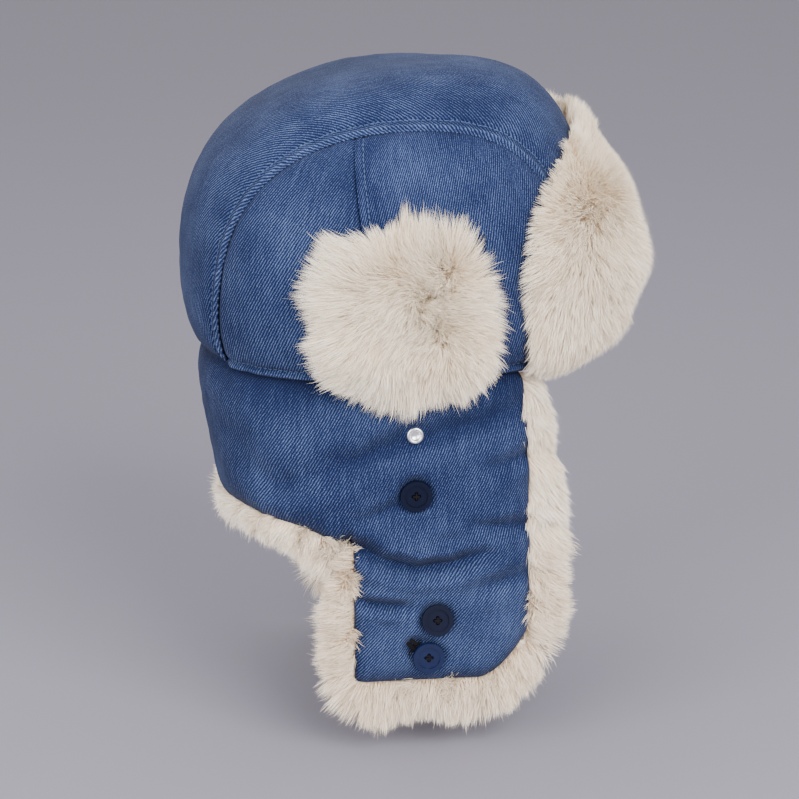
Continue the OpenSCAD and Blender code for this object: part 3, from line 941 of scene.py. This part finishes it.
def pelt_hair(name, shape, u, v, around, upward, length, hand, body, seed):
    """Hair over a pelt at places u, v, combed by around and upward along its two ways."""
    du, dv = slopes(shape, u, v, 0.004)
    lift = unit(np.cross(du, dv))
    flow = unit(du) * around[:, None] + unit(dv) * upward[:, None]
    strands(name, shape(u, v), lift, flow, length, hand, body, seed, long_fur)


def hand_name(hand):
    return "left" if hand > 0 else "right"


def flap_outward(z):
    """How far the turned-up flap stands off the crown; it is fullest below its middle."""
    share = np.clip((z - FLAP_LOW) / (FLAP_HIGH - FLAP_LOW), 0, 1)
    return 1.5 + 13 * np.sin(np.pi * share**0.8) + 3.5 * np.exp(-(((share - 0.42) / 0.15) ** 2))


def flap_hug(u, v):
    """Share of its stand-off that the flap keeps; its sides and top lie closer to the crown."""
    return (1 - 0.75 * np.abs(2 * u - 1) ** 3) * (1 - 0.8 * v**6)


def flap_half_angle(v):
    """The flap reaches furthest round the crown below its middle and is rounded at the top."""
    return FLAP_ANGLE + 3 + 5 * ease(v / 0.35) - 23 * np.clip((v - 0.55) / 0.45, 0, 1) ** 2


def front_pelt(u, v, extra=7.0):
    half = flap_half_angle(v)
    turn = 180 + lerp(-half, half, u)
    z = lerp(FLAP_LOW, FUR_HIGH, v)
    edge = np.minimum(np.minimum(u, 1 - u) * 9, np.minimum(v, 1 - v) * 7)
    out = flap_outward(z) * flap_hug(u, v) + extra * np.sqrt(np.clip(edge, 0.03, 1))
    out = out + 1.8 * soft_noise(u * 7 + 3, v * 6 + 3, 81)
    return skin(turn, np.maximum(z, 0.1), -out) + np.stack([0 * z, 0 * z, np.minimum(z, 0)], -1)


def front_flap():
    """The turned-up flap: pelt, hair outside and cloth against the crown."""
    pelt_mesh("front_flap_pelt", front_pelt, "front_flap_fur", "front_flap", -1, 90, 70)
    for part, seed in (("outer", 82), ("under", 83)):
        u, v = scatter(FRONT_HAIRS, seed)
        off = (u - 0.5) * 2
        around = np.sign(off) * np.abs(off) ** 3 * 1.3 + 0.6 * soft_noise(u * 5 + 2, v * 4, 84)
        upward = 1.25 * ease((v - 0.55) / 0.4) - 0.75 + 0.45 * soft_noise(u * 5 + 2, v * 4, 85)
        length = FRONT_HAIR * (0.9 + 0.25 * soft_noise(u * 7 + 2, v * 6, 86))
        length = length * lerp(1.0, 0.65, ease((v - 0.7) * 4))
        name = f"front_flap_hair_{part}"
        pelt_hair(name, front_pelt, u, v, around, upward, length, -1, "front_flap", seed)
    u, v = grid(steps(80), steps(60))
    half = flap_half_angle(v) - 6
    turn = 180 + lerp(-half, half, u)
    z = lerp(FLAP_LOW + 4, FUR_HIGH - 8, v)
    out = flap_outward(z) * flap_hug(u, v)
    outer, inner = skin(turn, z, 0.3 - out), skin(turn, z, 1.6 - out)
    back = slab("front_flap_cloth", outer, inner, np.stack([u * 200, z], -1), 0 * u, denim)
    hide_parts("front_flap_backing")
    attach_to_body(back, "front_flap")


def patch_surface(u, v, extra=0.0):
    """Place on the ear patch, which stands further off the crown towards its foot."""
    z = lerp(PATCH_LOW, PATCH_HIGH, v)
    y = lerp(PATCH_MID_Y + PATCH_HALF, PATCH_MID_Y - PATCH_HALF, u)
    return on_side(y, z, -(2.4 + 6 * (1 - v) ** 2 + extra))


def patch_pelt(u, v):
    edge = np.minimum(np.minimum(u, 1 - u), np.minimum(v, 1 - v)) * 5
    extra = 7.5 * np.sqrt(np.clip(edge, 0.03, 1)) + 1.4 * soft_noise(u * 6 + 2, v * 6 + 2, 91)
    a, b = u * 2 - 1, v * 2 - 1
    a = np.where(a > 0, a * (1 - 0.3 * v * v), a)
    u = 0.5 + a * (1 - 0.16 * b * b) / 2
    v = 0.48 + b * (0.96 - 0.16 * a * a) / 2
    return patch_surface(u, v, extra)


def ear_patch(hand):
    """Fur patch over the ear, hinged at its top edge."""
    word = hand_name(hand)
    body = f"{word}_ear_patch"
    pelt_mesh(f"{word}_patch_pelt", patch_pelt, f"{word}_ear_patch_fur", body, hand)
    u, v = scatter(PATCH_HAIRS, 92 + hand)
    a, b = (u - 0.55) * 2, (v - 0.47) * 2
    far = np.maximum(np.abs(a), np.abs(b))
    around = np.sign(a) * np.abs(a) ** 1.6 * 1.3 - 0.25 + 0.6 * soft_noise(u * 5 + 2, v * 5 + 2, 93)
    upward = np.sign(b) * np.abs(b) ** 1.8 * 1.2 - 0.3 + 0.6 * soft_noise(u * 5 + 2, v * 5 + 2, 94)
    length = PATCH_HAIR * (0.95 + 0.22 * soft_noise(u * 6 + 2, v * 6 + 2, 95)) * (0.85 + 0.3 * far)
    pelt_hair(f"{word}_patch_hair", patch_pelt, u, v, around, upward, length, hand, body, 96 + hand)
    u, v = grid(steps(40), steps(40))
    outer, inner = patch_surface(u, v, -0.3), patch_surface(u, v, -1.5)
    cloth = np.stack([u * 88, v * 86], -1)
    back = slab(f"{word}_patch_cloth", outer, inner, cloth, 0 * u, denim, hand)
    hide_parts(f"{word}_ear_patch_backing")
    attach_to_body(back, body)


def path_frames(s, z):
    """Edge points on the curtain with the cloth's normal, the ways along and out of the edge."""
    points = curtain_point(s, z)
    normal = normals_of(curtain_base, s, z)
    forward = unit(np.gradient(points, axis=0))
    return points, normal, forward, unit(np.cross(normal, forward))


def edge_roll(path, normal, forward, outward, widths, seed, count):
    """Hair roots round the rolled edge of the fur, along a path of edge points."""
    rng = np.random.default_rng(seed)
    place = rng.uniform(0, len(path) - 1.001, count)
    k = place.astype(int)
    f = (place - k)[:, None]

    def at(values):
        return lerp(values[k], values[k + 1], f)

    around = rng.uniform(0.0, 1.3, count)[:, None] * np.pi
    width = at(widths[:, None])
    thick = 0.5 * FUR_DEPTH
    out, up = unit(at(outward)), unit(at(normal))
    roots = at(path) - up * (thick + 2.0)
    roots = roots + out * width * np.sin(around) + up * thick * np.cos(around)
    lift = unit(out * np.sin(around) / np.maximum(width, 1) * thick + up * np.cos(around))
    tufts = soft_noise(place / 3, 0 * place, seed + 7)[:, None] > 0.25
    # most hair lies outward, and tufts of it lie back over the cloth
    push = np.where(tufts & (around < 0.25 * np.pi), -0.4, 0.7)
    return roots, lift, out * push, unit(at(forward))


def edge_fur(name, s, z, hand, body, widths, seed, count, length, comb):
    """Band of fur along a cloth edge; comb is how far the hair lies along the edge."""
    roots, lift, out, along = edge_roll(*path_frames(s, z), widths, seed, count)
    sway = 0.5 * soft_noise(roots[:, 1] / 11 + 9, roots[:, 2] / 11 + 30, seed + 1)
    flow = along * (comb + sway[:, None]) + out + np.array([0, 0, -0.25])
    noise = soft_noise(roots[:, 1] / 14 + 9, roots[:, 2] / 14 + 30, seed + 2)
    size = length * (0.9 + 0.25 * noise)
    material = tab_fur if body.endswith("_chin_tab") else short_fur
    strands(name, roots, lift, flow, size, hand, body, seed + 3, material)


def roll_mesh(name, s, z, hand, body, widths):
    """Skin of the rolled fur edge under its hair."""
    points, normal, _, outward = path_frames(s, z)
    turn = np.linspace(0.0, 1.35, 15) * np.pi
    thick = 0.42 * FUR_DEPTH
    center = points - normal * (0.5 * FUR_DEPTH + 2.2)
    reach = (0.85 * widths)[:, None, None]
    outer = center[:, None] + outward[:, None] * reach * np.sin(turn)[None, :, None]
    outer = outer + normal[:, None] * thick * np.cos(turn)[None, :, None]
    pelt_slab(name, outer, lerp(outer, center[:, None], 0.35), hand, body, [])


def lining_point(s, z, depth):
    """Point at least depth inside the curtain's mean surface and clear of its folds."""
    relief = curtain_relief(s, z)
    inside = np.maximum(depth, 3.6 - relief)
    return curtain_base(s, z) - normals_of(curtain_base, s, z) * inside[..., None]


def lining_fur(name, s, z, hand, body, seed):
    """Fur on the inside of the curtain, rooted at random places s, z."""
    roots = lining_point(s, z, 7.5)
    lift = -normals_of(curtain_base, s, z)
    swirl = 0.5 * soft_noise(s / 20, z / 20, seed)
    flow = np.stack([0 * s, swirl, -0.9 + 0 * s], -1)
    strands(name, roots, lift, flow, LINING_HAIR, hand, body, seed, short_fur, thick=0.75)


def lining_skin(name, s, z, hand, body, nodes):
    """Skin of the fur on the inside of the curtain."""
    outer = curtain_point(s, z) - 3.0 * normals_of(curtain_base, s, z)
    pelt_slab(name, outer, lining_point(s, z, 8.5), hand, body, nodes)


TAB_TOP = 96  # where the chin tab's fur begins, above the crease


def flap_fur(hand):
    """Fur round the edges and on the inside of one ear flap and its chin tab."""
    word = hand_name(hand)
    length = FLAP_REAR + FLAP_FRONT
    rng = np.random.default_rng(120 + hand)
    # ear flap: front edge and inside
    z = np.linspace(-1, -TAB_TOP, 60)
    s = np.full(60, length)
    widths = lerp(10.0, 17.0, np.clip(-z / 60, 0, 1))
    body = f"{word}_ear_flap"
    roll_mesh(f"{word}_flap_edge_pelt", s, z, hand, body, widths)
    edge_fur(f"{word}_flap_edge_hair", s, z, hand, body, widths, 121 + hand, EDGE_HAIRS, EDGE_HAIR, 1.1)
    s = rng.uniform(0, length + 6, LINING_HAIRS)
    z = rng.uniform(-TAB_TOP, -2, LINING_HAIRS)
    lining_fur(f"{word}_flap_lining_hair", s, z, hand, body, 124 + hand)
    s, z = grid(np.linspace(1, length - 1, 60), np.linspace(-TAB_TOP, -1.5, 60))
    lining_skin(f"{word}_flap_lining_pelt", s, z, hand, body, [f"{word}_ear_flap_fur"])
    # chin tab: front edge, bottom, rear edge, and inside
    body = f"{word}_chin_tab"
    front_z = np.linspace(-TAB_TOP, tab_bottom(-0.93 * FLAP_FRONT), 24)
    bottom_s = np.linspace(length - 5.6, 5, 70)
    rear_z = np.linspace(-FLAP_DROP + 4, -TAB_TOP, 34)
    s = np.concatenate([np.full(24, length), bottom_s, np.full(34, 0.3)])
    z = np.concatenate([front_z, tab_bottom(FLAP_REAR - bottom_s), rear_z])
    widths = np.concatenate([np.full(24, 17.0), np.full(70, 18.0), np.linspace(12, 5, 34)])
    roll_mesh(f"{word}_tab_edge_pelt", s, z, hand, body, widths)
    for part, seed in (("outer", 131), ("under", 134)):
        name = f"{word}_tab_edge_hair_{part}"
        edge_fur(name, s, z, hand, body, widths, seed + hand, EDGE_HAIRS, EDGE_HAIR, 0.25)
    s = rng.uniform(0, length + 6, TAB_LINING_HAIRS)
    z = rng.uniform(-FLAP_DROP - 6, -TAB_TOP, TAB_LINING_HAIRS)
    z = np.maximum(z, tab_bottom(FLAP_REAR - s) - 8)
    lining_fur(f"{word}_tab_lining_hair", s, z, hand, body, 137 + hand)
    s, v = grid(np.linspace(1, length - 1, 60), steps(54))
    z = lerp(tab_bottom(FLAP_REAR - s) + 1, -TAB_TOP - 0.3, v)
    lining_skin(f"{word}_tab_lining_pelt", s, z, hand, body, [f"{word}_chin_tab_fur"])


def neck_fur():
    """Fur along the lower edge and on the inside of the neck curtain."""
    for hand in (-1, 1):
        word = hand_name(hand)
        rng = np.random.default_rng(150 + hand)
        s = np.linspace(-0.5, -NECK_ARC, 90)
        z = curtain_bottom(s) + 1.0
        widths = 6.5 + 7.0 * np.exp(-((s / 40) ** 2)) + 2.0 * soft_noise(s / 17 + 50, 0 * s + 3, 155)
        body = f"{word}_curtain"
        roll_mesh(f"{word}_neck_edge_pelt", s, z, hand, body, widths)
        edge_fur(f"{word}_neck_edge_hair", s, z, hand, body, widths, 151 + hand, NECK_HAIRS, NECK_HAIR, 0.1)
        s = rng.uniform(-NECK_ARC, -0.5, LINING_HAIRS)
        z = rng.uniform(-NECK_DROP - 4, -2, LINING_HAIRS)
        lining_fur(f"{word}_neck_lining_hair", s, z, hand, body, 157 + hand)
        s, z = grid(np.linspace(-NECK_ARC, -0.6, 40), np.linspace(-NECK_DROP + 1, -1.5, 24))
        nodes = ["neck_curtain_fur"] if hand < 0 else []
        lining_skin(f"{word}_neck_lining_pelt", s, z, hand, body, nodes)


# ---- stitching ----


STITCH_PITCH = 3.2
STITCH_WIDTH = 0.7
STITCH_LIFT = 0.3


def stitch_row(name, path, normal, body):
    """Row of short thread stitches along a path of points in millimetres."""
    step = np.linalg.norm(np.diff(path, axis=0), axis=1)
    arc = np.concatenate([[0], np.cumsum(step)])
    count = int(arc[-1] / STITCH_PITCH)
    middle = (np.arange(count) + 0.5) * STITCH_PITCH
    half = 0.36 * STITCH_PITCH

    def along(values, at):
        return np.stack([np.interp(at, arc, values[:, k]) for k in range(3)], -1)

    start, end = along(path, middle - half), along(path, middle + half)
    up = unit(along(normal, middle))
    axis = unit(end - start)
    cross = unit(np.cross(axis, up))
    rings, spokes = 5, 6
    rows = []
    for r in range(rings):
        t = r / (rings - 1)
        swell = math.sin(math.pi * lerp(0.12, 0.88, t))
        center = lerp(start, end, t) + up * (STITCH_LIFT * swell - 0.1)
        for k in range(spokes):
            a = 2 * math.pi * k / spokes
            reach = 0.5 * STITCH_WIDTH * (0.45 + 0.55 * swell)
            rows.append(center + reach * (math.cos(a) * cross + math.sin(a) * up))
    points = np.stack(rows, 1)
    quads = []
    for r in range(rings - 1):
        for k in range(spokes):
            a, b = r * spokes + k, r * spokes + (k + 1) % spokes
            quads.append((a, b, b + spokes, a + spokes))
    faces = (np.arange(count)[:, None, None] * rings * spokes + np.array(quads)[None]).reshape(-1, 4)
    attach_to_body(new_mesh(name, points.reshape(-1, 3), faces, thread_blue), body)


def seam_line(points, distance, value, axis):
    """Points where a distance that grows along one axis of a grid reaches a value."""
    points, distance = np.moveaxis(points, axis, 1), np.moveaxis(distance, axis, 1)
    line = []
    for row, far in zip(points, distance):
        if not far.min() < value < far.max():
            continue
        order = np.argsort(far)
        line.append([np.interp(value, far[order], row[order, k]) for k in range(3)])
    return np.array(line)


# ---- metal stud and loose threads ----

# Radius and height of the stud's outline, from its sunk middle to its rim.
STUD_PROFILE = (
    (0.01, 0.05), (2.5, 0.05), (2.8, 0.6), (3.0, 1.6), (3.5, 1.95), (4.3, 1.85), (4.8, 1.2), (5.0, 0.1)
)


def stud_ring(hand):
    """Press stud: a raised metal ring round a sunk cup."""
    spokes = 48
    y, z = np.array(STUD_AT[0]), np.array(STUD_AT[1])
    center = on_side(y, z)
    out = -normals_of(on_side, y, z)
    out = out * np.sign(-out[0])
    ahead = unit(np.cross(out, [0, 0, 1]))
    up = np.cross(ahead, out)
    angle = np.linspace(0, 2 * np.pi, spokes, endpoint=False)[:, None]
    spoke = np.cos(angle) * ahead + np.sin(angle) * up
    rings = np.array([center + radius * spoke + height * out for radius, height in STUD_PROFILE])
    ids = np.arange(len(rings) * spokes).reshape(len(rings), spokes)
    after = np.roll(ids, -1, axis=1)
    faces = np.stack([ids[:-1], ids[1:], after[1:], after[:-1]], -1).reshape(-1, 4)
    word = hand_name(hand)
    obj = new_mesh(f"{word}_stud_ring", mirrored(rings.reshape(-1, 3), hand), faces[:, ::hand], silver)
    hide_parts(f"{word}_press_stud")
    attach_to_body(obj, f"{word}_ear_flap")


def frayed_threads(hand):
    """Ends of the buttonhole's thread that have worn loose beside the lower button."""
    rng = np.random.default_rng(190)
    count = FRAYED_ENDS
    along = rng.uniform(-7, 7, count)
    y = FRAY_AT[0] - 0.7 * along + rng.normal(0, 0.7, count)
    z = FRAY_AT[1] + 0.7 * along + rng.normal(0, 0.7, count)
    roots = on_side(y, z) + np.array([-0.2, 0, 0])
    lift = np.tile([-1.0, 0, 0], (count, 1))
    flow = rng.normal(0, 1.1, (count, 3)) * np.array([0.3, 1, 1]) + np.array([0, 0.5, -0.3])
    word = hand_name(hand)
    strands(
        f"{word}_frayed_threads", roots, lift, flow, rng.uniform(3, 7, count), hand,
        f"{word}_chin_tab", 191, thread_dark, thick=0.6, clump=0.1, wave=0.25,
    )


# ---- build ----

for hand in (-1, 1):
    word = hand_name(hand)
    crown_panel(f"{word}_rear_crown_panel", FIRST_TURN - UNDER_ENDS, SPLIT_TURN, 0, hand, 11)
    crown_panel(
        f"{word}_front_crown_panel", SPLIT_TURN - SPLIT_LAP, LAST_TURN + UNDER_ENDS, -17, hand, 21
    )
    curtain(hand, word)
    ear_patch(hand)
    flap_fur(hand)
crown_strip()
crown_layers()
sweatband()
front_flap()
neck_fur()
for hand in (-1, 1):
    stud_ring(hand)
    frayed_threads(hand)

HARDWARE = {
    "upper_button": navy,
    "tilted_button": navy,
    "lower_button": blue,
    "press_socket": silver,
    "upper_button_thread": thread_dark,
    "tab_button_threads": thread_dark,
    "buttonhole_stitching": thread_dark,
}
for word in ("right", "left"):
    for part, material in HARDWARE.items():
        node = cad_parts[f"{word}_{part}"]
        node.data.materials.clear()
        node.data.materials.append(material)

# ---- camera, light and floor ----

VIEW_WIDTH = 479.4  # width of the view at the hat
DISTANCE = 1500
AZIMUTH, ELEVATION = math.radians(264), math.radians(17)
TARGET = Vector((0, -8.7, -39)) * MM
LOWEST = -222 * MM
SENSOR = 36

back = Vector((
    math.sin(AZIMUTH) * math.cos(ELEVATION),
    -math.cos(AZIMUTH) * math.cos(ELEVATION),
    math.sin(ELEVATION),
))
camera = bpy.data.objects.new("camera", bpy.data.cameras.new("camera"))
bpy.context.scene.collection.objects.link(camera)
camera.location = TARGET + back * DISTANCE * MM
camera.rotation_euler = back.to_track_quat("Z", "Y").to_euler()
camera.data.sensor_width = SENSOR
camera.data.lens = SENSOR * DISTANCE / VIEW_WIDTH
bpy.context.scene.camera = camera


def area_light(name, place, size, power):
    """Square light that faces the hat, with its power in watts."""
    light = bpy.data.lights.new(name, "AREA")
    light.energy = power
    light.size = size
    obj = bpy.data.objects.new(name, light)
    obj.location = place
    obj.rotation_euler = Vector(place).to_track_quat("Z", "Y").to_euler()
    bpy.context.scene.collection.objects.link(obj)


area_light("key", (-1.5, -0.7, 1.0), 1.2, 58)
area_light("fill", (-1.3, 1.2, 0.6), 1.4, 42)
area_light("top", (0.3, 0.2, 1.8), 1.6, 8)

world = bpy.data.worlds.new("studio")
world.use_nodes = True
background = world.node_tree.nodes["Background"]
background.inputs["Color"].default_value = (0.86, 0.84, 0.87, 1)
background.inputs["Strength"].default_value = 1.05
bpy.context.scene.world = world

mesh = bpy.data.meshes.new("floor")
reach = 6.0
mesh.from_pydata(
    [(-reach, -reach, LOWEST), (reach, -reach, LOWEST), (reach, reach, LOWEST), (-reach, reach, LOWEST)],
    [], [(0, 1, 2, 3)],
)
floor = bpy.data.objects.new("floor", mesh)
bpy.context.scene.collection.objects.link(floor)
mesh.materials.append(
    object_material("floor_paper", (0.225, 0.215, 0.262), (0.237, 0.227, 0.275), 0.7, 2)
)
